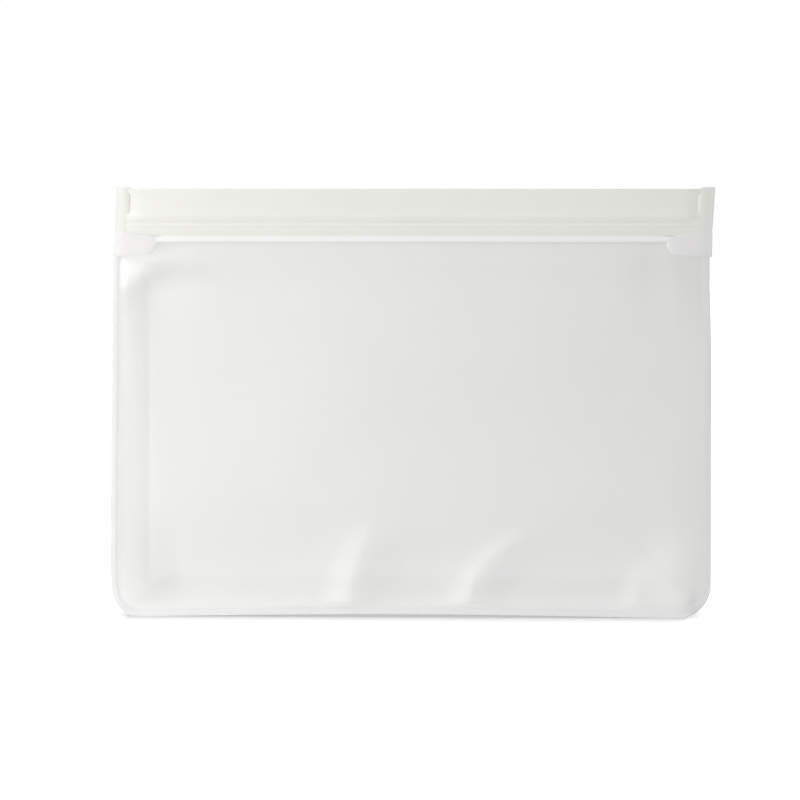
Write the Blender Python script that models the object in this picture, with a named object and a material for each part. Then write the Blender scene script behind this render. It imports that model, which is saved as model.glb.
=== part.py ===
"""Stand-up storage bag of frosted film, empty, zipped shut and standing on its welded base rims.

The bag is a front and a back panel welded round a folded gusset that runs down one side, along the
base and up the other side.  The weld shows as a flat rim round each panel.  Above the panels sit the
two halves of a press-to-close zip with their pull lips, and a flat pressed weld closes each end of
the zip and the top of each side gusset.

Units are metres.  The origin is on the floor under the middle of the bag, +X to the right as seen
from the front, -Y to the front and +Z up.
"""

import math

import bmesh
import bpy

# Driving dimensions
BAG_HEIGHT = 0.200
RIM_HALF_WIDTH = 0.1390
RIM_WIDTH = 0.0035
RIM_THICKNESS = 0.0007
CORNER_RADIUS = 0.013
BASE_HALF_DEPTH = 0.013
FOLD_INSET = 0.0145
PANEL_SWELL = 0.0030
PANEL_STEP = 0.0005
BASE_ARCH = 0.0012
BASE_ARCH_HALF_SPAN = 0.090
BASE_ARCH_REACH = 0.040

# The sealed pouch, below and inside the zip
POUCH_TOP = 0.1775
MOUTH_HEIGHT = 0.173
MOUTH_HALF_GAP = 0.00015
SIDE_ROWS = 16
CORNER_STEPS = 7
BASE_COLUMNS = 28

# The zip halves, each one strip of even section
STRIP_HALF_LENGTH = 0.138
STRIP_THICKNESS = 0.0008
STRIP_BOTTOM = 0.1743
LIP_TOP = 0.1985
FLANGE_OFFSET = 0.00115
CORE_OFFSET = 0.00035
LIP_OFFSET = 0.00085
TRACK_HEIGHTS = (0.1827, 0.1865)
TRACK_HALF_HEIGHT = 0.0010
TRACK_RELIEF = 0.0008
TONGUE_HALF_HEIGHT = 0.0004
TONGUE_REACH = 0.00055

# The pressed welds at the two ends of the zip
END_HALF_WIDTH = 0.1400
END_FOOT_HALF_WIDTH = 0.1397
END_INNER = 0.1335
END_BOTTOM = 0.1675
END_THICKNESS = 0.0022
LOBE_TOP = 0.1787
LOBE_HALF_HEIGHT = 0.0047
LOBE_TIP = 0.1185
LOBE_DROOP = 0.0009
LOBE_STEPS = 10

CLEARANCE = 0.0003
CUTTER_THICKNESS = 0.020
MERGE_DISTANCE = 1e-6


def clear_scene():
    for old in list(bpy.data.objects):
        bpy.data.objects.remove(old, do_unlink=True)


def new_collection(name):
    collection = bpy.data.collections.new(name)
    bpy.context.scene.collection.children.link(collection)
    return collection


def film_material(name, colour, roughness, alpha):
    """A frosted plastic film: pale, softly glossy and partly see-through."""
    material = bpy.data.materials.new(name)
    material.use_nodes = True
    shader = material.node_tree.nodes["Principled BSDF"]
    shader.inputs["Base Color"].default_value = (*colour, 1.0)
    shader.inputs["Roughness"].default_value = roughness
    shader.inputs["Metallic"].default_value = 0.0
    shader.inputs["Alpha"].default_value = alpha
    return material


def add_object(name, mesh, collection, material=None):
    obj = bpy.data.objects.new(name, mesh)
    collection.objects.link(obj)
    if material:
        obj.data.materials.append(material)
    return obj


# ---------------------------------------------------------------- the pouch


def opening(height):
    """Half the gap between the two rims at this height: the bag stands open below, shut above."""
    share = min(height / MOUTH_HEIGHT, 1.0)
    return MOUTH_HALF_GAP + (BASE_HALF_DEPTH - MOUTH_HALF_GAP) * math.cos(share * math.pi / 2)


def panel_step(z):
    """How far the panel's edge stands proud of the pressed rim: nothing where the zip grips it."""
    return PANEL_STEP if z < MOUTH_HEIGHT else 0.0


def panel_swell(across, z):
    """How far a panel bows out from its edges; across runs from -1 to 1 between the two sides."""
    profile = 1.0 - across**4
    foot = RIM_WIDTH + PANEL_STEP
    share = min(max((z - foot) / (MOUTH_HEIGHT - foot), 0.0), 1.0)
    return PANEL_SWELL * profile * math.sin(share * math.pi) ** 0.8


def base_lift(x, z):
    """How far the film is drawn up between the four feet, most at the middle of the base."""
    if abs(x) > BASE_ARCH_HALF_SPAN or z > BASE_ARCH_REACH:
        return 0.0
    along = math.cos(x / BASE_ARCH_HALF_SPAN * math.pi / 2) ** 2
    return BASE_ARCH * along * (1.0 - z / BASE_ARCH_REACH) ** 2


def rim_path(inset):
    """The U-shaped line this far inside the bag's outline: down the left, along the base and up."""
    half = RIM_HALF_WIDTH - inset
    radius = CORNER_RADIUS - inset
    centre_x = RIM_HALF_WIDTH - CORNER_RADIUS
    side = [(-half, POUCH_TOP)]
    for i in range(SIDE_ROWS):
        side.append((-half, MOUTH_HEIGHT + (CORNER_RADIUS - MOUTH_HEIGHT) * i / SIDE_ROWS))
    corner = []
    for i in range(CORNER_STEPS):
        angle = math.pi / 2 * i / CORNER_STEPS
        corner.append(
            (-centre_x - radius * math.cos(angle), CORNER_RADIUS - radius * math.sin(angle))
        )
    base = [
        (centre_x * (2 * i / BASE_COLUMNS - 1), inset) for i in range(BASE_COLUMNS // 2)
    ]
    left = side + corner + base
    return left + [(0.0, inset)] + [(-x, z) for x, z in reversed(left)]


def fold_path():
    """The gusset's middle fold: parallel to the rims, with a sharp mitre at each lower corner."""
    fold_height = RIM_WIDTH + FOLD_INSET
    limit = RIM_HALF_WIDTH - RIM_WIDTH - FOLD_INSET
    return [(min(max(x, -limit), limit), max(z, fold_height)) for x, z in rim_path(RIM_WIDTH)]


def band_lines():
    """The lines that bound rims and gusset, from the front panel's edge round to the back's."""
    inner, outer, fold = rim_path(RIM_WIDTH), rim_path(0.0), fold_path()
    panel_edge = rim_path(RIM_WIDTH + PANEL_STEP)
    front = [
        [(x, -opening(z) - RIM_THICKNESS - panel_step(z), z) for x, z in panel_edge],
        [(x, -opening(z) - RIM_THICKNESS, z) for x, z in inner],
        [(x, -opening(z) - RIM_THICKNESS, z) for x, z in outer],
        [(x, -opening(z), z) for x, z in outer],
        [(x, -opening(z), z) for x, z in inner],
    ]
    back = [[(x, -y, z) for x, y, z in line] for line in reversed(front)]
    return front + [[(x, 0.0, z) for x, z in fold]] + back


def panel_rows(side):
    """Rows of points over one panel, top to bottom; side is -1 for the front and +1 for the back."""
    edge = rim_path(RIM_WIDTH + PANEL_STEP)
    rows = []
    for i in range(SIDE_ROWS + CORNER_STEPS + 2):
        half, z = -edge[i][0], edge[i][1]
        row = []
        for j in range(BASE_COLUMNS + 1):
            across = 2 * j / BASE_COLUMNS - 1
            depth = opening(z) + RIM_THICKNESS + panel_step(z) + panel_swell(across, z)
            row.append((half * across, side * depth, z))
        rows.append(row)
    return rows


def add_grid(bm, rows):
    """Joins equal rows of points with faces and returns their vertices."""
    grid = [[bm.verts.new(point) for point in row] for row in rows]
    for upper, lower in zip(grid, grid[1:]):
        for j in range(len(upper) - 1):
            bm.faces.new((upper[j], upper[j + 1], lower[j + 1], lower[j]))
    return grid


def pouch_mesh():
    """One closed body: two panels, and between them the band of rims and folded gusset."""
    bm = bmesh.new()
    front = add_grid(bm, panel_rows(-1))
    back = add_grid(bm, panel_rows(1))
    band = add_grid(bm, band_lines())
    right_end = [line[-1] for line in band[1:-1]]
    left_end = [line[0] for line in reversed(band[1:-1])]
    bm.faces.new(front[0] + right_end + list(reversed(back[0])) + left_end)
    for vert in bm.verts:
        vert.co.z += base_lift(vert.co.x, vert.co.z)
    bmesh.ops.remove_doubles(bm, verts=bm.verts, dist=MERGE_DISTANCE)
    bmesh.ops.dissolve_degenerate(bm, edges=bm.edges, dist=MERGE_DISTANCE)
    bmesh.ops.triangulate(bm, faces=bm.faces, ngon_method="EAR_CLIP")
    bmesh.ops.recalc_face_normals(bm, faces=bm.faces)
    mesh = bpy.data.meshes.new("pouch")
    bm.to_mesh(mesh)
    bm.free()
    return mesh


# ---------------------------------------------------------------- flat outlines given a thickness


def slab(name, outline, thickness, rotation, collection, material=None):
    """A closed outline extruded to a thickness, as a mesh object with its caps welded on."""
    curve = bpy.data.curves.new(name, "CURVE")
    curve.dimensions = "2D"
    curve.fill_mode = "BOTH"
    curve.extrude = thickness / 2
    spline = curve.splines.new("POLY")
    spline.points.add(len(outline) - 1)
    for point, (u, v) in zip(spline.points, outline):
        point.co = (u, v, 0.0, 1.0)
    spline.use_cyclic_u = True
    shape = add_object(name + "_outline", curve, collection)
    shape.rotation_euler = rotation
    bpy.context.view_layer.update()
    evaluated = shape.evaluated_get(bpy.context.evaluated_depsgraph_get())
    mesh = bpy.data.meshes.new_from_object(evaluated)
    bm = bmesh.new()
    bm.from_mesh(mesh)
    bmesh.ops.remove_doubles(bm, verts=bm.verts, dist=MERGE_DISTANCE)
    bmesh.ops.recalc_face_normals(bm, faces=bm.faces)
    bm.to_mesh(mesh)
    bm.free()
    mesh.name = name
    obj = add_object(name, mesh, collection, material)
    obj.matrix_world = shape.matrix_world
    bpy.data.objects.remove(shape, do_unlink=True)
    return obj


# ---------------------------------------------------------------- the zip halves


def strip_section(side):
    """The section of one zip half as (y, z) points; side is -1 for the front and +1 for the back.

    Each half has a flange that overlaps the pouch, two tracks and a pull lip that leans out.  The
    front tracks are grooved and the back ones carry the tongues that sit in the grooves.
    """
    core_bottom = POUCH_TOP + 2 * CLEARANCE
    outer = [
        (FLANGE_OFFSET + STRIP_THICKNESS, STRIP_BOTTOM),
        (FLANGE_OFFSET + STRIP_THICKNESS, core_bottom),
        (CORE_OFFSET + STRIP_THICKNESS, core_bottom + 2 * CLEARANCE),
    ]
    inner = [(FLANGE_OFFSET, STRIP_BOTTOM), (FLANGE_OFFSET, core_bottom), (CORE_OFFSET, core_bottom)]
    for height in TRACK_HEIGHTS:
        low, high = height - TRACK_HALF_HEIGHT, height + TRACK_HALF_HEIGHT
        face = CORE_OFFSET + STRIP_THICKNESS
        crest = face + TRACK_RELIEF
        outer += [
            (face, low),
            (crest, low + TRACK_RELIEF / 2),
            (crest, high - TRACK_RELIEF / 2),
            (face, high),
        ]
        if side < 0:
            room = TONGUE_HALF_HEIGHT + CLEARANCE
            depth = CORE_OFFSET + STRIP_THICKNESS
        else:
            room = TONGUE_HALF_HEIGHT
            depth = -TONGUE_REACH
        inner += [
            (CORE_OFFSET, height - room),
            (depth, height - room),
            (depth, height + room),
            (CORE_OFFSET, height + room),
        ]
    track_top = TRACK_HEIGHTS[-1] + TRACK_HALF_HEIGHT + TRACK_RELIEF
    outer += [(CORE_OFFSET + STRIP_THICKNESS, track_top), (LIP_OFFSET + STRIP_THICKNESS, LIP_TOP)]
    inner += [(CORE_OFFSET, track_top), (LIP_OFFSET, LIP_TOP)]
    return [(side * offset, z) for offset, z in outer + list(reversed(inner))]


def zip_strip(name, side, collection, material):
    turn_section_to_yz = (math.pi / 2, 0.0, math.pi / 2)
    return slab(
        name,
        strip_section(side),
        2 * STRIP_HALF_LENGTH,
        turn_section_to_yz,
        collection,
        material,
    )


# ---------------------------------------------------------------- the pressed end welds


def end_weld_outline(side, grow=0.0):
    """The outline of one end weld as (x, z): an upright leg with a rounded lobe reaching inwards.

    grow moves the whole outline outwards, for the cutter that leaves room round the weld.
    """
    lobe_height = LOBE_TOP - LOBE_DROOP - LOBE_HALF_HEIGHT
    reach = LOBE_TIP + LOBE_HALF_HEIGHT
    radius = LOBE_HALF_HEIGHT + grow
    tip = []
    for i in range(LOBE_STEPS + 1):
        angle = math.pi / 2 + math.pi * i / LOBE_STEPS
        tip.append((reach + radius * math.cos(angle), lobe_height + radius * math.sin(angle)))
    outline = [
        (END_HALF_WIDTH + grow, BAG_HEIGHT + grow),
        (END_INNER - grow, BAG_HEIGHT + grow),
        (END_INNER - grow, LOBE_TOP + grow),
        *tip,
        (END_FOOT_HALF_WIDTH + grow, END_BOTTOM - grow),
        (END_FOOT_HALF_WIDTH + grow, LOBE_TOP),
    ]
    return [(side * x, z) for x, z in outline]


def end_weld(name, side, collection, material=None, grow=0.0, thickness=END_THICKNESS):
    turn_outline_to_xz = (math.pi / 2, 0.0, 0.0)
    return slab(
        name,
        end_weld_outline(side, grow),
        thickness,
        turn_outline_to_xz,
        collection,
        material,
    )


def cut(obj, cutter):
    modifier = obj.modifiers.new("room for " + cutter.name, "BOOLEAN")
    modifier.operation = "DIFFERENCE"
    modifier.solver = "EXACT"
    modifier.object = cutter


def shade(obj, angle):
    obj.data.shade_smooth()
    obj.data.set_sharp_from_angle(angle=math.radians(angle))


def build_bag():
    clear_scene()
    bag = new_collection("stand_up_storage_bag")
    cutters = new_collection("cutters")
    film = film_material("frosted_film", (0.86, 0.86, 0.84), 0.38, 0.55)
    zip_film = film_material("zip_film", (0.87, 0.86, 0.80), 0.32, 0.75)
    weld_film = film_material("pressed_weld", (0.86, 0.86, 0.84), 0.45, 0.70)

    pouch = add_object("pouch", pouch_mesh(), bag, film)
    front_half = zip_strip("front_zip_strip", -1, bag, zip_film)
    back_half = zip_strip("back_zip_strip", 1, bag, zip_film)

    for side, place in ((-1, "left"), (1, "right")):
        end_weld(place + "_end_weld", side, bag, weld_film)
        cutter = end_weld(
            place + "_weld_room", side, cutters, grow=CLEARANCE, thickness=CUTTER_THICKNESS
        )
        cutter.hide_render = True
        cutter.display_type = "WIRE"
        for obj in (pouch, front_half, back_half):
            cut(obj, cutter)

    shade(pouch, 30)


build_bag()
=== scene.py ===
import math

import bmesh
import bpy
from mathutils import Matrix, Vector


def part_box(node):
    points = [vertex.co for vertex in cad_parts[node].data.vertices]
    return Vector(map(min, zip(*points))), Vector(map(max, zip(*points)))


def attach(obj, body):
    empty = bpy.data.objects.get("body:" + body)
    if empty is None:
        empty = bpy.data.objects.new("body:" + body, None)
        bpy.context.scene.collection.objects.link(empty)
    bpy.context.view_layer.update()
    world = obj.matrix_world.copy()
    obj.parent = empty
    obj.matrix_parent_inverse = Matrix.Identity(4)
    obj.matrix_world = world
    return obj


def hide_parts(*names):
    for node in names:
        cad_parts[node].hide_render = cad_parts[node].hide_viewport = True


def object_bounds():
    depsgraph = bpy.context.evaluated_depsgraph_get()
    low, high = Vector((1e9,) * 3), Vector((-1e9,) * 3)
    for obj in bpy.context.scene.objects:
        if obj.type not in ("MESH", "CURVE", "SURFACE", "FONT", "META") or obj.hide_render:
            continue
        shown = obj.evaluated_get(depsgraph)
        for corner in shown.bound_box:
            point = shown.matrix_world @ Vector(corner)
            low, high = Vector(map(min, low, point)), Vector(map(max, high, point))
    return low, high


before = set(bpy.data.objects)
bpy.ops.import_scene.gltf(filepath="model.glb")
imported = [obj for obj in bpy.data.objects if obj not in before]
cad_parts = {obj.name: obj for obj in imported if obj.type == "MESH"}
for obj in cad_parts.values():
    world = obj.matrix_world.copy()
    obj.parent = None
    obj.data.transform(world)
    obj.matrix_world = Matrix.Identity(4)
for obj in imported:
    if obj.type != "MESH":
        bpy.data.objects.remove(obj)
cad_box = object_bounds()
bpy.ops.object.select_all(action="DESELECT")


# ---------------------------------------------------------------- camera and studio
# A long lens looks at the front of the bag from a little above and a little to its right.  The
# studio has a white surround, a wide soft lamp overhead, a soft one low on the left, a weaker one
# behind, and a white floor with a painted contact shadow.  The floor's colour as the camera sees it
# is painted darker close to the bag, which is also where the floor throws back most light.

bag_height = cad_box[1].z
camera_distance = 2.0
camera_turn = math.radians(2.4)
camera_tilt = math.radians(3.1)
camera_aim = Vector((-0.0061, 0.0, bag_height / 2 + 0.0005))
view_width = 0.3736

bpy.ops.object.camera_add()
camera = bpy.context.object
camera.name = "front_camera"
camera.data.lens = camera.data.sensor_width * camera_distance / view_width
camera_back = Vector(
    (
        math.sin(camera_turn) * math.cos(camera_tilt),
        -math.cos(camera_turn) * math.cos(camera_tilt),
        math.sin(camera_tilt),
    )
)
camera.location = camera_aim + camera_distance * camera_back
camera.rotation_euler = (-camera_back).to_track_quat("-Z", "Y").to_euler()
bpy.context.scene.camera = camera
bpy.context.scene.view_settings.view_transform = "Standard"

surround = bpy.data.worlds.new("white_surround")
bpy.context.scene.world = surround
surround.use_nodes = True
surround_nodes = surround.node_tree.nodes
surround_links = surround.node_tree.links
seen_white = surround_nodes.new("ShaderNodeBackground")
seen_white.inputs["Color"].default_value = (1.0, 0.995, 1.0, 1.0)
seen_white.inputs["Strength"].default_value = 1.0
fill_light = surround_nodes["Background"]
fill_light.inputs["Color"].default_value = (1.0, 0.94, 1.04, 1.0)
fill_light.inputs["Strength"].default_value = 0.14
light_path = surround_nodes.new("ShaderNodeLightPath")
seen_or_lit = surround_nodes.new("ShaderNodeMixShader")
surround_links.new(light_path.outputs["Is Camera Ray"], seen_or_lit.inputs["Fac"])
surround_links.new(fill_light.outputs["Background"], seen_or_lit.inputs[1])
surround_links.new(seen_white.outputs["Background"], seen_or_lit.inputs[2])
surround_links.new(
    seen_or_lit.outputs["Shader"], surround_nodes["World Output"].inputs["Surface"]
)


def add_lamp(name, kind, place, aim, energy, colour, size):
    """Adds a soft lamp that faces its aim and that the camera doesn't see.

    size is an area lamp's side in metres, or the angle in degrees that a sun lamp spreads over.
    """
    bpy.ops.object.light_add(type=kind, location=place)
    lamp = bpy.context.object
    lamp.name = name
    lamp.rotation_euler = (Vector(aim) - Vector(place)).to_track_quat("-Z", "Y").to_euler()
    lamp.data.energy = energy
    lamp.data.color = colour
    lamp.visible_camera = False
    if kind == "SUN":
        lamp.data.angle = math.radians(size)
    else:
        lamp.data.size = size


bag_middle = (0.0, 0.0, 0.10)
add_lamp("overhead_lamp", "SUN", (0.0, 0.0, 2.0), (0.0, 0.0, 0.0), 3.00, (1.0, 0.994, 1.0), 50.0)
add_lamp(
    "left_lamp", "AREA", (-1.15, -0.95, 0.30), bag_middle, 27.7, (0.988, 0.9975, 0.975), 0.7
)
add_lamp("back_lamp", "AREA", (1.10, 1.10, 0.40), bag_middle, 15.0, (1.0, 0.995, 0.985), 0.8)

# The floor's tones go by the distance from the bag's foot line.  Past the ends of that line the
# distance counts many times over, so that the tones stay close to the bag.  The tones that the
# camera sees are a painted contact shadow: darkest just outside the foot line, a little lighter
# right under the bag, and white further out.  The tones that the floor throws back are lightest
# near the bag.
foot_line_shift = 0.003
past_end_stretch = 11.0
past_end_start = 1.41
floor_stops = {
    # Painted contact shadow: the floor colour that the camera sees, by distance from the foot line
    "seen": (
        (0.0105, 0.50), (0.013, 0.25), (0.027, 0.44), (0.045, 0.54), (0.09, 0.68), (0.15, 0.98)
    ),
    "thrown": ((0.024, 0.86), (0.056, 0.46)),
}
floor_green_share = 0.995

bpy.ops.mesh.primitive_plane_add(size=12.0, location=(0.0, 0.0, 0.0))
floor = bpy.context.object
floor.name = "pale_floor_with_painted_shadow"
floor_paint = bpy.data.materials.new("pale_floor_with_painted_shadow")
floor_paint.use_nodes = True
floor_nodes = floor_paint.node_tree.nodes
floor_shader = floor_nodes["Principled BSDF"]
floor_shader.inputs["Roughness"].default_value = 0.9
floor_shader.inputs["Specular IOR Level"].default_value = 0.1
floor_shader.inputs["Emission Color"].default_value = (1.0, 0.995, 1.0, 1.0)
floor_shader.inputs["Emission Strength"].default_value = 0.40
floor_links = floor_paint.node_tree.links
floor_place = floor_nodes.new("ShaderNodeTexCoord")
floor_axes = floor_nodes.new("ShaderNodeSeparateXYZ")
floor_links.new(floor_place.outputs["Object"], floor_axes.inputs["Vector"])
floor_past_end = floor_axes.outputs["X"]
for operation, values in (
    ("ADD", (foot_line_shift,)),
    ("ABSOLUTE", ()),
    ("MULTIPLY_ADD", (past_end_stretch, -past_end_start)),
    ("MAXIMUM", (0.0,)),
):
    step = floor_nodes.new("ShaderNodeMath")
    step.operation = operation
    for socket, value in zip(list(step.inputs)[1:], values):
        socket.default_value = value
    floor_links.new(floor_past_end, step.inputs[0])
    floor_past_end = step.outputs["Value"]
floor_offset = floor_nodes.new("ShaderNodeCombineXYZ")
floor_links.new(floor_past_end, floor_offset.inputs["X"])
floor_links.new(floor_axes.outputs["Y"], floor_offset.inputs["Y"])
floor_reach = floor_nodes.new("ShaderNodeVectorMath")
floor_reach.operation = "LENGTH"
floor_links.new(floor_offset.outputs["Vector"], floor_reach.inputs[0])
floor_tones = {}
for tone_name, stops in floor_stops.items():
    tone = floor_nodes.new("ShaderNodeValToRGB")
    ramp = tone.color_ramp.elements
    ramp[0].position, ramp[1].position = stops[0][0], stops[-1][0]
    for place, _ in stops[1:-1]:
        ramp.new(place)
    for element, (_, white) in zip(ramp, stops):
        element.color = (white, floor_green_share * white, white, 1.0)
    floor_links.new(floor_reach.outputs["Value"], tone.inputs["Fac"])
    floor_tones[tone_name] = tone.outputs["Color"]
floor_speckle = floor_nodes.new("ShaderNodeTexNoise")
floor_speckle.inputs["Scale"].default_value = 400.0
floor_grain = floor_nodes.new("ShaderNodeMix")
floor_grain.data_type = "RGBA"
floor_grain.blend_type = "MULTIPLY"
floor_grain.inputs["Factor"].default_value = 0.03
# The painted contact shadow becomes the floor's seen colour, with a faint speckle over it
floor_links.new(floor_tones["seen"], floor_grain.inputs["A"])
floor_links.new(floor_speckle.outputs["Color"], floor_grain.inputs["B"])
floor_links.new(floor_grain.outputs["Result"], floor_shader.inputs["Base Color"])
floor_bounce = floor_nodes.new("ShaderNodeBsdfDiffuse")
floor_path = floor_nodes.new("ShaderNodeLightPath")
floor_mix = floor_nodes.new("ShaderNodeMixShader")
floor_links.new(floor_tones["thrown"], floor_bounce.inputs["Color"])
floor_links.new(floor_path.outputs["Is Camera Ray"], floor_mix.inputs["Fac"])
floor_links.new(floor_bounce.outputs["BSDF"], floor_mix.inputs[1])
floor_links.new(floor_shader.outputs["BSDF"], floor_mix.inputs[2])
floor_links.new(floor_mix.outputs["Shader"], floor_nodes["Material Output"].inputs["Surface"])
floor.data.materials.append(floor_paint)


# ---------------------------------------------------------------- film pouch
# The body of the bag: a front and a back panel of frosted plastic film with a folded gusset between
# them, all cut from one film.  Their edges are welded together, so here they are one closed skin,
# whose seams lie inside the rim welds.

pouch_low, pouch_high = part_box("pouch")
half_width = pouch_high.x
pouch_top = pouch_high.z
corner_radii = {-1: 0.0125, 1: 0.0155}
rim_width = 0.0035
rim_thickness = 0.0007
mouth_height = 0.173
mouth_half_gap = 0.00015
film_lift = 0.00036
base_half_depth = 0.013
fold_inset = 0.0135
arch_rise = 0.0014
arch_half_span = 0.125
arch_reach = 0.040

film_tuck = 0.0010
film_edge = rim_width - film_tuck
panel_columns = 190
panel_rows = 122
corner_cuts = 9
gusset_strips = 6


def rim_gap(z):
    """Half the gap between the two rims: the bag stands open below and is shut above."""
    share = min(max(z, 0.0) / mouth_height, 1.0)
    return mouth_half_gap + (base_half_depth - mouth_half_gap) * math.cos(share * math.pi / 2)


def base_lift(x, z):
    """How far the film is drawn up between the bag's four feet."""
    if abs(x) > arch_half_span or z > arch_reach:
        return 0.0
    along = math.cos(x / arch_half_span * math.pi / 2)
    return arch_rise * along * (1.0 - max(z, 0.0) / arch_reach) ** 2


def edge_distance(x, z):
    """How far a point lies inside the bag's outline of two sides, a base and two round corners."""
    radius = corner_radii[-1 if x < 0.0 else 1]
    across = half_width - radius - abs(x)
    up = z - radius
    if across < 0.0 and up < 0.0:
        return radius - math.hypot(across, up)
    return min(across, up) + radius


def smooth_step(value, low, high):
    """0 up to low and 1 from high on, with a smooth rise between them."""
    share = min(max((value - low) / (high - low), 0.0), 1.0)
    return share * share * (3.0 - 2.0 * share)


def sway(x, z):
    """How far a point is moved sideways: the body hangs wider than its zip, most to the left.

    Each end of the body and of the zip has its own line, and the points between share them out.
    """
    at_zip = smooth_step(z, 0.1640, 0.1745)
    left_body = -0.0008 - 0.0012 * smooth_step(z, 0.004, 0.026)
    left_body += 0.0004 * math.exp(-(((z - 0.112) / 0.032) ** 2))
    right_body = -0.0003 - 0.0009 * smooth_step(z, 0.120, 0.165)
    left_zip = 0.0001 + 0.0007 * smooth_step(z, 0.180, 0.199)
    right_zip = -0.0009 + 0.0013 * smooth_step(z, 0.180, 0.200)
    left = left_body + (left_zip - left_body) * at_zip
    right = right_body + (right_zip - right_body) * at_zip
    return left + (right - left) * (0.5 + 0.5 * min(max(x / half_width, -1.0), 1.0))


ridge_softness = 0.2


def buckle(x, z, foot, head, lean, left_breadths, right_breadths, height):
    """A soft ridge in the film from its foot near the base weld to its head, where it dies away.

    lean bends the ridge: at 1 it is straight, and above 1 it starts upright and turns over.  The
    breadths of its two flanks are given at the foot and at the head.
    """
    share = (z - foot[1]) / (head[1] - foot[1])
    if share >= 1.0:
        return 0.0
    share = max(share, 0.0)
    across = x - (foot[0] + (head[0] - foot[0]) * share**lean)
    breadths = left_breadths if across < 0.0 else right_breadths
    across /= breadths[0] + (breadths[1] - breadths[0]) * share
    rounded = math.sqrt(across * across + ridge_softness**2) - ridge_softness
    return height * max(1.0 - rounded, 0.0) ** 1.5 * (1.0 - share**2.5)


# Each buckle's foot, head, lean, left and right breadths at foot and head, and height
front_buckles = (
    ((-0.0285, 0.003), (-0.0165, 0.046), 1.5, (0.044, 0.014), (0.034, 0.026), 0.0010),
    ((-0.0285, 0.003), (-0.0160, 0.046), 1.5, (0.013, 0.010), (0.020, 0.020), 0.0013),
    ((0.0270, 0.003), (0.0585, 0.044), 2.0, (0.020, 0.014), (0.040, 0.026), 0.0007),
    ((0.0270, 0.003), (0.0585, 0.043), 2.0, (0.010, 0.009), (0.018, 0.020), 0.0011),
    ((0.1040, 0.003), (0.1115, 0.028), 1.3, (0.008, 0.008), (0.024, 0.020), 0.0009),
    ((-0.1310, 0.008), (-0.0920, 0.044), 1.0, (0.020, 0.022), (0.030, 0.024), 0.00035),
    ((-0.1330, 0.004), (-0.1080, 0.024), 1.0, (0.008, 0.008), (0.012, 0.012), 0.0003),
    ((0.1330, 0.004), (0.1030, 0.032), 1.0, (0.020, 0.018), (0.009, 0.011), 0.0005),
)
back_buckles = (
    ((0.0610, 0.003), (0.0500, 0.046), 1.2, (0.026, 0.018), (0.012, 0.008), 0.0018),
    ((-0.0150, 0.003), (-0.0360, 0.044), 1.8, (0.030, 0.018), (0.012, 0.008), 0.0017),
    ((-0.0930, 0.003), (-0.1010, 0.030), 1.2, (0.020, 0.014), (0.014, 0.008), 0.0013),
    ((-0.1330, 0.004), (-0.1050, 0.028), 1.0, (0.007, 0.008), (0.013, 0.014), 0.0007),
    ((0.1330, 0.004), (0.1060, 0.026), 1.0, (0.013, 0.014), (0.007, 0.008), 0.0007),
)
middle_rise = 0.0007
crown_rise = 0.0007
base_dip = 0.0024
base_dip_reach = 0.0048
fold_line = 0.0140
fold_line_reach = 0.045
shoulder_slope = 0.18
shoulder_reach = 0.0120
bulge_rise = 0.0006
bulge_middle = (0.1195, 0.1570)
grip_relief = 0.0002
rising_from_rim = (0.0004, 0.0030)
sinking_from_rim = (-0.0005, 0.0022)


def panel_body(x, z, from_side):
    """The panel's slight swell, less the shallow line that is drawn in over the gusset's fold."""
    body = (0.5 + 0.5 * math.cos(math.pi * x / half_width)) * middle_rise
    body *= smooth_step(z, 0.014, 0.090) * (1.0 - min(max((z - 0.110) / 0.064, 0.0), 1.0) ** 1.6)
    drawn_in = 0.0002 + 0.0003 * smooth_step(z, 0.050, 0.150)
    drawn_in *= smooth_step(z, 0.018, 0.040) * (1.0 - smooth_step(z, 0.152, 0.166))
    if from_side < fold_line:
        drawn_in *= (from_side / fold_line) ** 2
    else:
        drawn_in *= math.exp(-(((from_side - fold_line) / fold_line_reach) ** 2))
    return body - drawn_in


def base_hollow(z, from_side):
    """How deep the panel is drawn in above its base weld, where the gusset holds it."""
    foot = math.exp(-max(z - rim_width, 0.0) / base_dip_reach)
    dip = base_dip * (1.0 - foot) * (1.0 - smooth_step(z, 0.016, 0.055))
    return dip * smooth_step(from_side, 0.004, 0.030)


def shoulder_fold(x, z, side, from_side):
    """The film below an end weld: a sloping fold on the panel's left, a low bulge on its right."""
    if x * side > 0.0:
        crest = shoulder_reach * min(max((z - 0.149) / 0.012, 0.0), 1.0)
        drawn = (from_side + crest - math.hypot(from_side - crest, 0.003)) / 2 + 0.0007
        shoulder = shoulder_slope * max(drawn, 0.0)
        shoulder *= math.exp(-((max(from_side - crest, 0.0) / 0.017) ** 2))
        shoulder *= smooth_step(z, 0.147, 0.155) * (1.0 - smooth_step(z, 0.1635, 0.1700))
        return shoulder
    across = (abs(x) - bulge_middle[0]) / (0.0120 if abs(x) > bulge_middle[0] else 0.036)
    up = (z - bulge_middle[1]) / (0.0080 if z > bulge_middle[1] else 0.032)
    return bulge_rise * math.exp(-across * across - up * up)


def crown_under_zip(x, z):
    """The low crown that the stiff zip gives the panel just below it, clear of the end welds."""
    crown = smooth_step(z, 0.125, 0.162) * (1.0 - min(max((z - 0.162) / 0.0135, 0.0), 1.0) ** 2)
    crown *= crown_rise * (1.0 - smooth_step(abs(x), 0.098, 0.116))
    return crown


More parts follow.
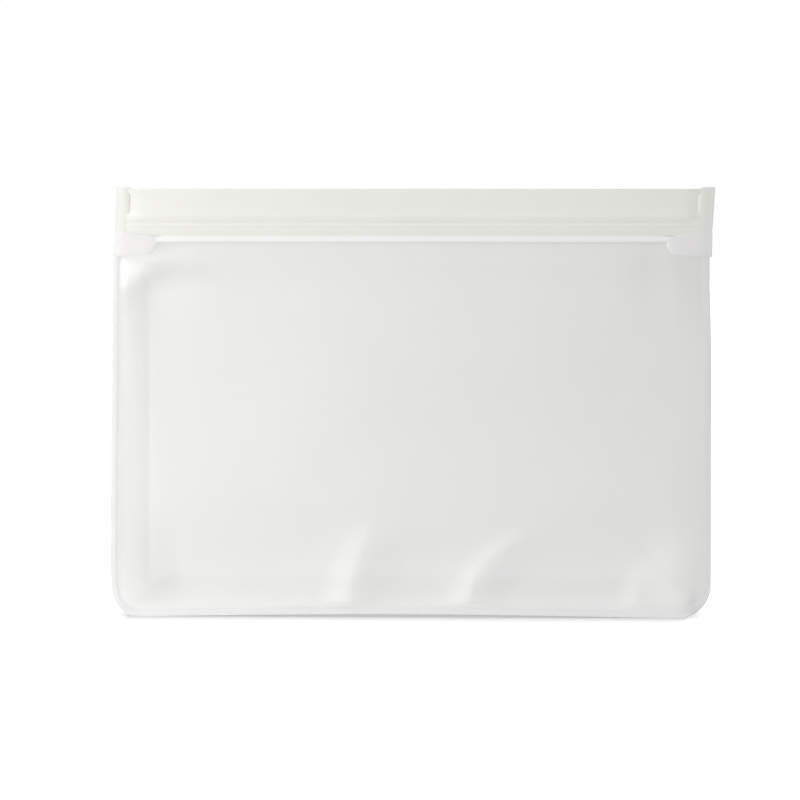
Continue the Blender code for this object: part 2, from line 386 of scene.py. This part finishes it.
def panel_relief(x, z, side):
    """How far a panel stands out from the middle of its rims; side is -1 in front and +1 behind."""
    inside = max(edge_distance(x, z) - rim_width, 0.0)
    from_side = max(half_width - rim_width - abs(x), 0.0)
    folds = sum(buckle(x, z, *shape) for shape in (front_buckles if side < 0 else back_buckles))
    loose = panel_body(x, z, from_side) - base_hollow(z, from_side)
    loose = loose + shoulder_fold(x, z, side, from_side) + folds + crown_under_zip(x, z)
    gripped = smooth_step(z, 0.1662, 0.1692) * smooth_step(abs(x), 0.114, 0.120)
    loose += (grip_relief - loose) * gripped
    return loose * smooth_step(inside, *(rising_from_rim if loose > 0.0 else sinking_from_rim))


def select_parts(choose, mode="VERT"):
    """Selects the edit mesh's vertices, edges or faces that choose picks."""
    bpy.ops.mesh.select_mode(type=mode)
    bpy.ops.mesh.select_all(action="DESELECT")
    mesh = bmesh.from_edit_mesh(bpy.context.object.data)
    parts = {"VERT": mesh.verts, "EDGE": mesh.edges, "FACE": mesh.faces}[mode]
    for part in parts:
        if choose(part):
            part.select_set(True)
    mesh.select_flush_mode()
    bmesh.update_edit_mesh(bpy.context.object.data)


def move_selected(place):
    """Moves each selected vertex of the edit mesh to where place puts it."""
    mesh = bmesh.from_edit_mesh(bpy.context.object.data)
    for vertex in mesh.verts:
        if vertex.select:
            vertex.co = place(vertex.co)
    bmesh.update_edit_mesh(bpy.context.object.data)


def name_piece(name, size):
    """Names the active object and its mesh, and stretches the mesh to its size."""
    piece = bpy.context.object
    piece.name = name
    piece.data.name = name
    piece.scale = size
    bpy.ops.object.transform_apply(location=True, rotation=True, scale=True)
    return piece


def apply_modifier(piece, kind, **settings):
    """Gives a piece one modifier with its settings, and applies it to the mesh."""
    modifier = piece.modifiers.new(kind.lower(), kind)
    for setting, value in settings.items():
        setattr(modifier, setting, value)
    bpy.ops.object.modifier_apply(modifier=modifier.name)


facing_front = (math.radians(90.0), 0.0, 0.0)

bpy.ops.mesh.primitive_grid_add(
    x_subdivisions=panel_columns,
    y_subdivisions=panel_rows,
    size=1.0,
    location=(0.0, 0.0, (film_edge + pouch_top) / 2),
    rotation=facing_front,
)
film_pouch = name_piece("film_pouch", (2 * (half_width - film_edge), pouch_top - film_edge, 1.0))
bpy.ops.object.mode_set(mode="EDIT")
for side in (-1, 1):
    for cut in range(corner_cuts):
        angle = math.radians(90.0) * (cut + 0.5) / corner_cuts
        outward = Vector((side * math.cos(angle), 0.0, -math.sin(angle)))
        radius = corner_radii[side]
        corner_middle = Vector((side * (half_width - radius), 0.0, radius))
        bpy.ops.mesh.select_all(action="SELECT")
        bpy.ops.mesh.bisect(
            plane_co=corner_middle + outward * (radius - film_edge),
            plane_no=outward,
            clear_outer=True,
        )
bpy.ops.mesh.select_all(action="SELECT")
move_selected(lambda co: Vector((co.x, -rim_gap(co.z) - rim_thickness / 2 - film_lift, co.z)))

# The gusset's front half runs from the panel's edge to the fold, down the sides and along the base
fold_height = rim_width + fold_inset
fold_half_width = half_width - rim_width - fold_inset
film_pouch.vertex_groups.new(name="panel")
bpy.ops.mesh.select_all(action="SELECT")
bpy.ops.object.vertex_group_assign()
select_parts(
    lambda edge: edge.is_boundary and min(vert.co.z for vert in edge.verts) < pouch_top - 1e-5,
    mode="EDGE",
)
for strip in range(gusset_strips):
    share_left = 1.0 / (gusset_strips - strip)

    def towards_fold(co):
        fold = Vector(
            (min(max(co.x, -fold_half_width), fold_half_width), 0.0, max(co.z, fold_height))
        )
        return co + (fold - co) * share_left

    bpy.ops.mesh.extrude_edges_move()
    bpy.ops.object.vertex_group_remove_from()
    move_selected(towards_fold)
bpy.ops.object.mode_set(mode="OBJECT")
apply_modifier(
    film_pouch, "MIRROR", use_axis=(False, True, False), merge_threshold=0.00002
)
bpy.ops.object.mode_set(mode="EDIT")
select_parts(lambda edge: edge.is_boundary, mode="EDGE")
bpy.ops.mesh.edge_face_add()
bpy.ops.mesh.select_all(action="SELECT")
bpy.ops.mesh.remove_doubles(threshold=0.00001)
bpy.ops.mesh.normals_make_consistent(inside=False)
bpy.ops.object.mode_set(mode="OBJECT")

panel_group = film_pouch.vertex_groups["panel"].index
for face in film_pouch.data.polygons:
    corners = (film_pouch.data.vertices[index] for index in face.vertices)
    if not all(any(entry.group == panel_group for entry in corner.groups) for corner in corners):
        face.material_index = 1
for vertex in film_pouch.data.vertices:
    if any(entry.group == panel_group for entry in vertex.groups):
        side = -1 if vertex.co.y < 0 else 1
        vertex.co.y += side * panel_relief(vertex.co.x, vertex.co.z, side)
    x, y, z = vertex.co
    vertex.co = (x + sway(x, z), y, z + base_lift(x, z))
bpy.ops.object.shade_smooth_by_angle(angle=math.radians(40.0))


def frost_group():
    """The frosting that all the bag's film shares: a fine grain, and clouds where it is denser."""
    group = bpy.data.node_groups.new("frosting", "ShaderNodeTree")
    group.interface.new_socket("Grain scale", in_out="INPUT", socket_type="NodeSocketFloat")
    group.interface.new_socket("Cloud scale", in_out="INPUT", socket_type="NodeSocketFloat")
    group.interface.new_socket("Grain", in_out="OUTPUT", socket_type="NodeSocketFloat")
    group.interface.new_socket("Cloud", in_out="OUTPUT", socket_type="NodeSocketFloat")
    entry = group.nodes.new("NodeGroupInput")
    result = group.nodes.new("NodeGroupOutput")
    place = group.nodes.new("ShaderNodeTexCoord")
    grain = group.nodes.new("ShaderNodeTexNoise")
    grain.inputs["Detail"].default_value = 2.0
    cloud = group.nodes.new("ShaderNodeTexNoise")
    cloud.inputs["Detail"].default_value = 3.0
    cloud.inputs["Roughness"].default_value = 0.45
    for texture, scale in ((grain, "Grain scale"), (cloud, "Cloud scale")):
        group.links.new(place.outputs["Object"], texture.inputs["Vector"])
        group.links.new(entry.outputs[scale], texture.inputs["Scale"])
    group.links.new(grain.outputs["Fac"], result.inputs["Grain"])
    group.links.new(cloud.outputs["Fac"], result.inputs["Cloud"])
    return group


frosting = frost_group()
cloud_scale = 14.0
cloud_range = (0.3, 0.7)
grain_strength = 0.5
painted_tone_blend = 0.0006


def frosted(name, thin, dense, alphas, roughnesses, grain, coat, painted_light_and_shade_below=None):
    """A frosted film whose colour, alpha and roughness run from thin to dense with the clouds.

    grain is the scale and the depth of its grain, and coat the weight and roughness of its gloss.
    The last argument is a height and the colour painted on the film below it: painted light where
    it is paler, painted shade where it is darker.
    """
    material = bpy.data.materials.new(name)
    material.use_nodes = True
    nodes, links = material.node_tree.nodes, material.node_tree.links
    shader = nodes["Principled BSDF"]
    shader.inputs["Coat Weight"].default_value = coat[0]
    shader.inputs["Coat Roughness"].default_value = coat[1]
    frost = nodes.new("ShaderNodeGroup")
    frost.node_tree = frosting
    frost.inputs["Grain scale"].default_value = grain[0]
    frost.inputs["Cloud scale"].default_value = cloud_scale
    tone = nodes.new("ShaderNodeMix")
    tone.data_type = "RGBA"
    tone.inputs["A"].default_value = (*thin, 1.0)
    tone.inputs["B"].default_value = (*dense, 1.0)
    links.new(frost.outputs["Cloud"], tone.inputs["Factor"])
    colour = tone.outputs["Result"]
    # Below the given height the colour gives way to a painted tone: painted light on the zip and
    # the end welds, painted shade on the rims.
    if painted_light_and_shade_below:
        place = nodes.new("ShaderNodeTexCoord")
        axes = nodes.new("ShaderNodeSeparateXYZ")
        below = nodes.new("ShaderNodeMapRange")
        below.inputs["From Min"].default_value = painted_light_and_shade_below[0] + painted_tone_blend
        below.inputs["From Max"].default_value = painted_light_and_shade_below[0] - painted_tone_blend
        painted_tone_mix = nodes.new("ShaderNodeMix")
        painted_tone_mix.data_type = "RGBA"
        painted_tone_mix.inputs["B"].default_value = (*painted_light_and_shade_below[1], 1.0)
        links.new(place.outputs["Object"], axes.inputs["Vector"])
        links.new(axes.outputs["Z"], below.inputs["Value"])
        links.new(below.outputs["Result"], painted_tone_mix.inputs["Factor"])
        links.new(colour, painted_tone_mix.inputs["A"])
        colour = painted_tone_mix.outputs["Result"]
    links.new(colour, shader.inputs["Base Color"])
    for socket, (low, high) in (("Alpha", alphas), ("Roughness", roughnesses)):
        span = nodes.new("ShaderNodeMapRange")
        span.inputs["From Min"].default_value = cloud_range[0]
        span.inputs["From Max"].default_value = cloud_range[1]
        span.inputs["To Min"].default_value = low
        span.inputs["To Max"].default_value = high
        links.new(frost.outputs["Cloud"], span.inputs["Value"])
        links.new(span.outputs["Result"], shader.inputs[socket])
    bump = nodes.new("ShaderNodeBump")
    bump.inputs["Strength"].default_value = grain_strength
    bump.inputs["Distance"].default_value = grain[1]
    links.new(frost.outputs["Grain"], bump.inputs["Height"])
    links.new(bump.outputs["Normal"], shader.inputs["Normal"])
    return material


pouch_film = frosted(
    "frosted_film",
    thin=(0.690, 0.6905, 0.6815),
    dense=(0.7105, 0.708, 0.7045),
    alphas=(0.80, 0.83),
    roughnesses=(0.34, 0.40),
    grain=(2200.0, 0.00002),
    coat=(0.2, 0.2),
)
# The gusset is the panels' own film, painted paler and made clearer: painted light that makes up
# for the shade it lies in inside the bag.
gusset_film_painted_lighter = frosted(
    "gusset_film_painted_lighter",
    thin=(0.80, 0.80, 0.79),
    dense=(0.83, 0.82, 0.82),
    alphas=(0.62, 0.66),
    roughnesses=(0.36, 0.42),
    grain=(2200.0, 0.00002),
    coat=(0.1, 0.25),
)
film_pouch.data.materials.append(pouch_film)
film_pouch.data.materials.append(gusset_film_painted_lighter)
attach(film_pouch, "root")
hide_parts("pouch")


# ---------------------------------------------------------------- rim welds
# The flat rim round each panel, where panel and gusset are pressed together hot.  It is two films
# thick, with a low bead near its inner edge where the welding bar ended.

weld_film = frosted(
    "rim_weld",
    thin=(0.72, 0.715, 0.71),
    dense=(0.75, 0.742, 0.742),
    alphas=(0.78, 0.83),
    roughnesses=(0.28, 0.34),
    grain=(1500.0, 0.00002),
    coat=(0.3, 0.15),
    # Below 5.8 mm the rim is painted a darker, lilac tone: painted shade along the rim's base,
    # where the shadowed floor and gusset show through.
    painted_light_and_shade_below=(0.0058, (0.705, 0.698, 0.702)),
)

# How far the rim's face stands proud at each line round it, by distance from the outer edge
rim_lines = (
    (0.0000, -0.00012),
    (0.0002, -0.00002),
    (0.0006, 0.00000),
    (0.0013, 0.00002),
    (0.0028, 0.00007),
    (0.0031, 0.00006),
    (0.0035, 0.00003),
)
rim_cell = 0.0045
corner_segments = 14

# Along the base the rim is pressed thinner towards its outer edge, and under the end weld on a
# panel's left that edge leans back a little
base_thinning = 0.00015
base_thinning_fade = (0.004, 0.010)
shoulder_lean = 0.0002
shoulder_lean_width = 0.0025
shoulder_lean_start = (0.135, 0.155)
shoulder_lean_end = (0.165, 0.172)


def cut_across(axis, place):
    """Cuts the whole edit mesh along a plane at a place on the X or the Z axis."""
    along = Vector((1.0, 0.0, 0.0) if axis == "X" else (0.0, 0.0, 1.0))
    bpy.ops.mesh.select_all(action="SELECT")
    bpy.ops.mesh.bisect(plane_co=place * along, plane_no=along)


def turn_faces_out():
    """Points the faces of the active piece outwards, after its two sides were swapped."""
    bpy.ops.object.mode_set(mode="EDIT")
    bpy.ops.mesh.select_all(action="SELECT")
    bpy.ops.mesh.normals_make_consistent(inside=False)
    bpy.ops.object.mode_set(mode="OBJECT")


def add_rim_weld(name, side):
    """Cuts a rim from a plate with two round corners; side is -1 in front and +1 behind."""
    bpy.ops.mesh.primitive_plane_add(
        size=1.0,
        location=(0.0, 0.0, pouch_top / 2),
        rotation=facing_front,
    )
    rim = name_piece(name, (2 * half_width, pouch_top, 1.0))
    bpy.ops.object.mode_set(mode="EDIT")
    for end, radius in corner_radii.items():
        select_parts(lambda vert: vert.co.z < 0.001 and vert.co.x * end > half_width - 0.001)
        bpy.ops.mesh.bevel(offset=radius, segments=corner_segments, affect="VERTICES")
    bpy.ops.mesh.select_mode(type="FACE")
    bpy.ops.mesh.select_all(action="SELECT")
    for (before, _), (after, _) in zip(rim_lines, rim_lines[1:]):
        bpy.ops.mesh.inset(thickness=after - before, depth=0.0)
    bpy.ops.mesh.delete(type="FACE")
    for row in range(1, int(pouch_top / rim_cell)):
        cut_across("Z", row * rim_cell)
    columns = int(half_width / rim_cell)
    for column in range(-columns, columns + 1):
        cut_across("X", column * rim_cell)
    bpy.ops.object.mode_set(mode="OBJECT")
    apply_modifier(rim, "SOLIDIFY", thickness=rim_thickness, offset=0.0)
    for vertex in rim.data.vertices:
        x, y, z = vertex.co
        distance = min(edge_distance(x, z), pouch_top - z)
        proud = rim_lines[-1][1]
        for (before, low), (after, high) in zip(rim_lines, rim_lines[1:]):
            if distance <= after + 1e-6:
                proud = low + (high - low) * max(distance - before, 0.0) / (after - before)
                break
        thinned = max(1.0 - distance / rim_width, 0.0)
        thinned *= 1.0 - smooth_step(z, *base_thinning_fade)
        proud -= base_thinning * thinned
        face = -1 if y < 0 else 1
        depth = rim_gap(z) + rim_thickness / 2 + side * (y + face * proud)
        if x * side > 0.0:
            leaning = max(1.0 - distance / shoulder_lean_width, 0.0)
            leaning *= smooth_step(z, *shoulder_lean_start)
            depth -= shoulder_lean * leaning * (1.0 - smooth_step(z, *shoulder_lean_end))
        vertex.co = (x + sway(x, z), side * depth, z + base_lift(x, z))
    if side > 0:
        turn_faces_out()
    bpy.ops.object.shade_smooth_by_angle(angle=math.radians(50.0))
    rim.data.materials.append(weld_film)
    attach(rim, "root")
    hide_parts("pouch")


add_rim_weld("front_rim_weld", -1)
add_rim_weld("back_rim_weld", 1)


# ---------------------------------------------------------------- zip halves
# The press-to-close zip is two moulded strips of a thicker, milkier plastic.  Each has a flange
# that is welded over the film, two tracks that press into each other, and a pull lip above them.

strip_low, strip_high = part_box("front_zip_strip")
strip_half_length = 0.1350
lip_growth = 0.0005
strip_bottom = strip_low.z
strip_top = strip_high.z + lip_growth
strip_thickness = 0.0008
track_row = 0.00022
lip_row = 0.0012
strip_column = 0.0030
lip_foot = 0.1886
lip_ripple = 0.00010
pinch_length = 0.006
pinched_depth = 0.00122
lip_opening = 0.00030
lobe_tip = 0.1188

# How far the outer face of a zip half stands from the bag's middle, by height
zip_section = (
    (0.1743, 0.00120),
    (0.1746, 0.00131),
    (0.1750, 0.00134),
    (0.1769, 0.00102),
    (0.1777, 0.00086),
    (0.1783, 0.00102),
    (0.1796, 0.00126),
    (0.1810, 0.00142),
    (0.18195, 0.00168),
    (0.1836, 0.00122),
    (0.1852, 0.00172),
    (0.1861, 0.00190),
    (0.1873, 0.00178),
    (0.1886, 0.00160),
    (0.1900, 0.00146),
    (0.1930, 0.00140),
    (0.1991, 0.00150),
)


def zip_face(z):
    """The outer face's distance from the middle, on a smooth line through the section's points."""
    for (low, near), (high, far) in zip(zip_section, zip_section[1:]):
        if z <= high:
            return near + (far - near) * smooth_step(z, low, high)
    return zip_section[-1][1]


def pinched_face(x, z):
    """The outer face of a zip half, drawn in where the end welds and their lobes grip it."""
    ripple = lip_ripple * math.sin(x * 70.0 + 1.0) * math.sin(x * 31.0)
    ripple *= smooth_step(z, 0.190, 0.199)
    under_lobe = smooth_step(abs(x), lobe_tip - 0.002, lobe_tip + 0.002)
    under_lobe *= 1.0 - smooth_step(z, 0.1778, 0.1800)
    at_end = smooth_step(abs(x), strip_half_length - pinch_length, strip_half_length - 0.0015)
    free = zip_face(z) + ripple
    open_lip = smooth_step(z, 0.1865, 0.1885) * (1.0 - smooth_step(z, 0.1950, 0.1975))
    gripped = min(free, pinched_depth - lip_opening * open_lip)
    return free + (gripped - free) * max(under_lobe, at_end)


zip_plastic = frosted(
    "zip_film",
    thin=(0.755, 0.755, 0.714),
    dense=(0.777, 0.773, 0.732),
    alphas=(0.84, 0.87),
    roughnesses=(0.30, 0.36),
    grain=(900.0, 0.00003),
    coat=(0.3, 0.15),
    # Below the tracks the flange is painted paler: painted light for a flange that lies in less
    # shade than the recess above it.
    painted_light_and_shade_below=(0.1770, (0.825, 0.825, 0.81)),
)


def add_zip_half(name, side, node):
    """Draws one zip half out along its section; side is -1 in front and +1 behind."""
    bpy.ops.mesh.primitive_plane_add(
        size=1.0,
        location=(0.0, 0.0, (strip_bottom + strip_top) / 2),
        rotation=facing_front,
    )
    strip = name_piece(name, (2 * strip_half_length, strip_top - strip_bottom, 1.0))
    bpy.ops.object.mode_set(mode="EDIT")
    z = strip_bottom
    while z < strip_top - lip_row:
        z += track_row if z < lip_foot else lip_row
        cut_across("Z", z)
    columns = int(strip_half_length / strip_column)
    for column in range(-columns, columns + 1):
        cut_across("X", column * strip_column)
    bpy.ops.object.mode_set(mode="OBJECT")
    apply_modifier(strip, "SOLIDIFY", thickness=strip_thickness, offset=0.0)
    for vertex in strip.data.vertices:
        x, y, z = vertex.co
        depth = pinched_face(x, z)
        if y * side < 0:
            depth = max(depth - strip_thickness, mouth_half_gap)
        vertex.co = (x + sway(x, z), side * depth, z)
    if side > 0:
        turn_faces_out()
    bpy.ops.object.shade_smooth_by_angle(angle=math.radians(50.0))
    strip.data.materials.append(zip_plastic)
    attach(strip, "root")
    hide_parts(node)


add_zip_half("front_zip_half", -1, "front_zip_strip")
add_zip_half("back_zip_half", 1, "back_zip_strip")


# ---------------------------------------------------------------- end welds
# A flat pressed block closes each end of the zip.  It grips both zip halves and both panels, and a
# rounded lobe reaches inwards over the folded top of the gusset.

weld_plastic = frosted(
    "pressed_weld",
    thin=(0.715, 0.715, 0.68),
    dense=(0.735, 0.730, 0.70),
    alphas=(0.84, 0.87),
    roughnesses=(0.32, 0.38),
    grain=(700.0, 0.00004),
    coat=(0.3, 0.15),
    # Below the top of its lobe the block is painted paler: a painted highlight on the lobe.
    painted_light_and_shade_below=(0.1785, (0.755, 0.748, 0.745)),
)

leg_inner = 0.1327
lobe_top = 0.1790
lobe_tip_top = 0.1764
lobe_tip_bottom = 0.1687
lobe_rows = 7
lobe_swell = 0.0004
film_wrap = 0.0004
lobe_cuts = (0.1700, 0.1715, 0.1730, 0.1745)
leg_cuts = (0.1350, 0.1362, 0.1374, 0.1384, 0.1392)
outer_thinning = 0.20
tip_thinning = 0.14
leg_thinning = 0.10
top_corner_drop = 0.0006


def add_end_weld(name, side, node):
    """Presses one block with its leg and lobe; side is -1 on the left and +1 on the right."""
    low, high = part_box(node)
    outer = max(abs(low.x), abs(high.x))
    thickness = high.y - low.y + film_wrap
    bpy.ops.mesh.primitive_cube_add(
        size=1.0,
        location=(side * (outer + leg_inner) / 2, 0.0, (low.z + high.z) / 2),
    )
    weld = name_piece(name, (outer - leg_inner, thickness, high.z - low.z))
    bpy.ops.object.mode_set(mode="EDIT")
    cut_across("Z", lobe_top)
    select_parts(
        lambda face: abs(face.normal.x) > 0.9
        and abs(face.calc_center_median().x) < leg_inner + 1e-4
        and face.calc_center_median().z < lobe_top,
        mode="FACE",
    )
    bpy.ops.mesh.extrude_region_move(
        TRANSFORM_OT_translate={"value": (-side * (leg_inner - lobe_tip), 0.0, 0.0)}
    )
    move_selected(
        lambda co: Vector((co.x, co.y, lobe_tip_top if co.z > lobe_tip_top else lobe_tip_bottom))
    )
    select_parts(
        lambda edge: all(abs(vert.co.x) < lobe_tip + 1e-4 for vert in edge.verts)
        and abs(edge.verts[0].co.y - edge.verts[1].co.y) > thickness / 2,
        mode="EDGE",
    )
    bpy.ops.mesh.bevel(
        offset=0.49 * (lobe_tip_top - lobe_tip_bottom), segments=8, affect="EDGES"
    )
    for z in lobe_cuts:
        cut_across("Z", z)
    for x in leg_cuts:
        cut_across("X", side * x)
    for row in range(1, lobe_rows):
        cut_across("X", side * (lobe_tip + row * (leg_inner - lobe_tip) / lobe_rows))
    bpy.ops.mesh.select_all(action="SELECT")
    bpy.ops.mesh.remove_doubles(threshold=0.00002)
    bpy.ops.mesh.normals_make_consistent(inside=False)
    bpy.ops.object.mode_set(mode="OBJECT")
    for vertex in weld.data.vertices:
        lowness = 1.0 - smooth_step(vertex.co.z, 0.1690, 0.1750)
        from_middle = abs(vertex.co.x)
        thinning = outer_thinning * smooth_step(from_middle, 0.1345, 0.1400) * (1.0 - lowness)
        thinning += tip_thinning * (1.0 - smooth_step(from_middle, lobe_tip, lobe_tip + 0.0025))
        if vertex.co.z > lobe_top:
            from_leg = smooth_step(from_middle, leg_inner, leg_inner + 0.0028)
            thinning += leg_thinning * (1.0 - from_leg)
        inward = smooth_step(outer - from_middle, -0.001, 0.006)
        inward *= smooth_step(from_middle, lobe_tip - 0.001, lobe_tip + 0.005)
        vertex.co.y += math.copysign(lobe_swell * lowness * inward, vertex.co.y)
        vertex.co.y *= 1.0 - thinning
        if vertex.co.z > high.z - 0.0001 and from_middle < leg_inner + 0.0001:
            vertex.co.z -= top_corner_drop
        vertex.co.x += sway(vertex.co.x, vertex.co.z)
    apply_modifier(weld, "BEVEL", width=0.0003, segments=4, limit_method="ANGLE", angle_limit=0.9)
    bpy.ops.object.shade_smooth_by_angle(angle=math.radians(40.0))
    weld.data.materials.append(weld_plastic)
    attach(weld, "root")
    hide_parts(node)


add_end_weld("left_end_weld_block", -1, "left_end_weld")
add_end_weld("right_end_weld_block", 1, "right_end_weld")
